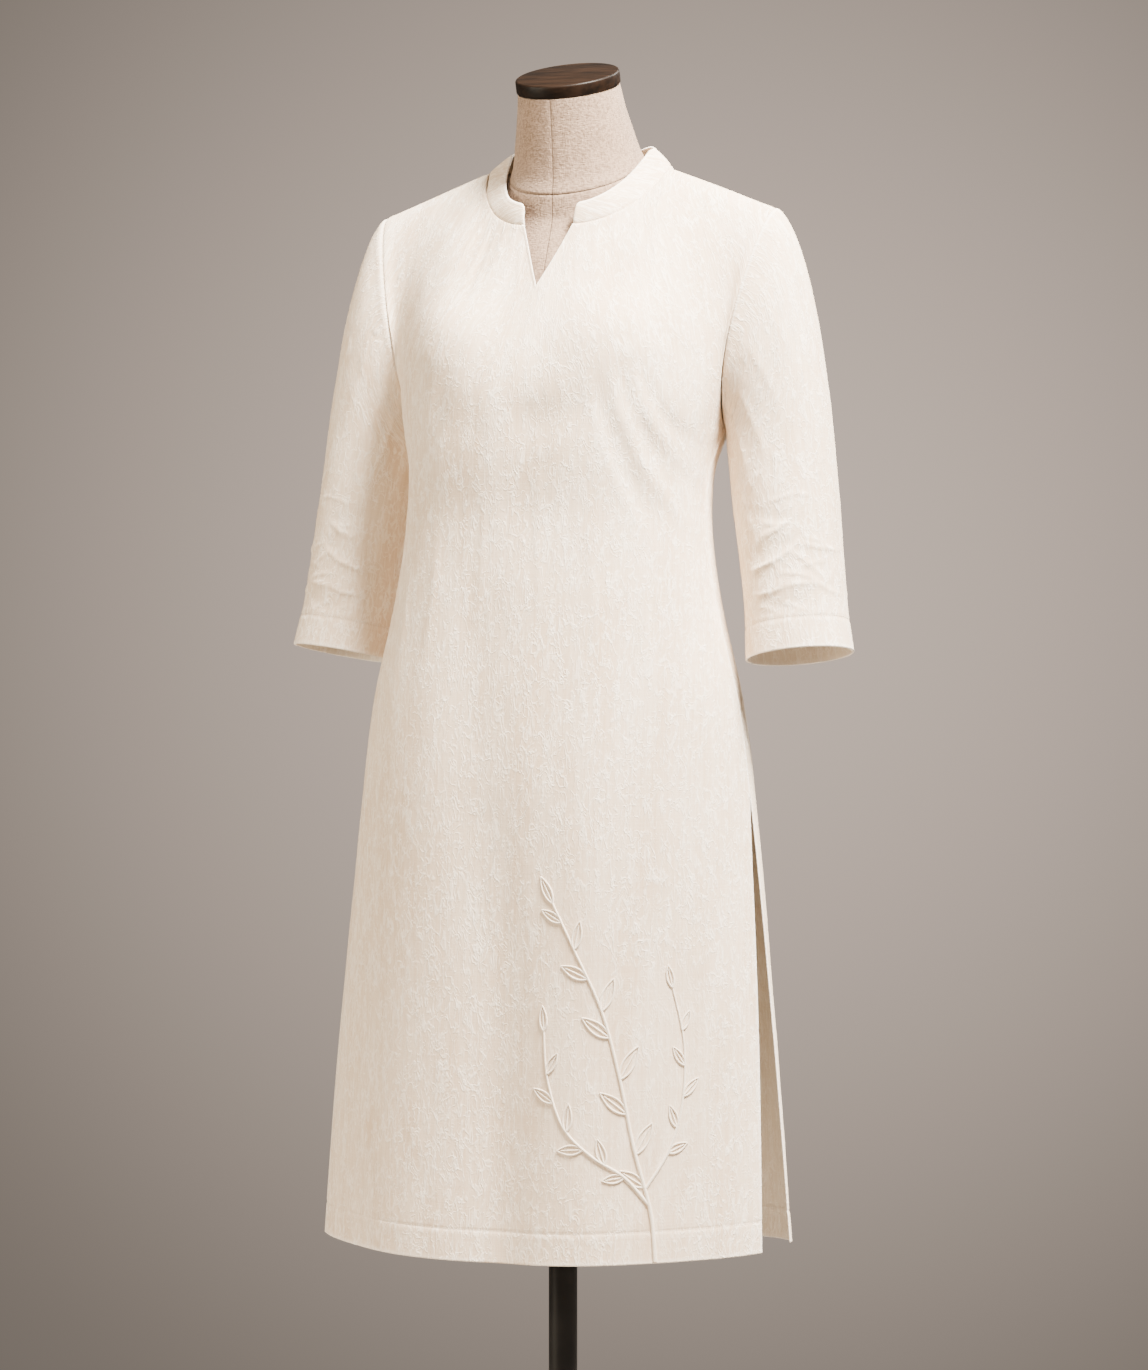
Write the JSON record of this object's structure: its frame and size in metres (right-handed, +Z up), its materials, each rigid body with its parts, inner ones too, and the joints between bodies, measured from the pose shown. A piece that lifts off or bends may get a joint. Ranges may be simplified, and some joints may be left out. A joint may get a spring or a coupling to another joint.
{
  "type": "kurta tunic on a dress form",
  "caption": "Knee-length ivory kurta tunic with stand collar, notch neck and side slits, worn on a limbless dress form with a round base.",
  "frame": {"origin": "on the floor at the centre of the stand's round base, under the axis of the pole", "axes": "+Z up; -Y is the front of the garment; +X is the wearer's left"},
  "size_m": [0.586, 0.4, 1.5311],
  "materials": {
    "ivory_linen": "crinkled slubby linen-cotton, matt, off-white",
    "form_linen": "fine beige linen cover, matt",
    "dark_wood": "dark brown varnished wood, satin",
    "black_metal": "black powder coat, satin"
  },
  "bodies": {
    "root": {"front_panel": "ivory_linen", "back_panel": "ivory_linen", "sleeve_left": "ivory_linen", "sleeve_right": "ivory_linen", "collar_band": "ivory_linen", "form_torso": "form_linen", "form_neck": "form_linen", "form_neck_cap": "dark_wood", "form_pole": "black_metal", "form_base": "black_metal", "form_base_socket": "black_metal"}
  },
  "joints": []
}
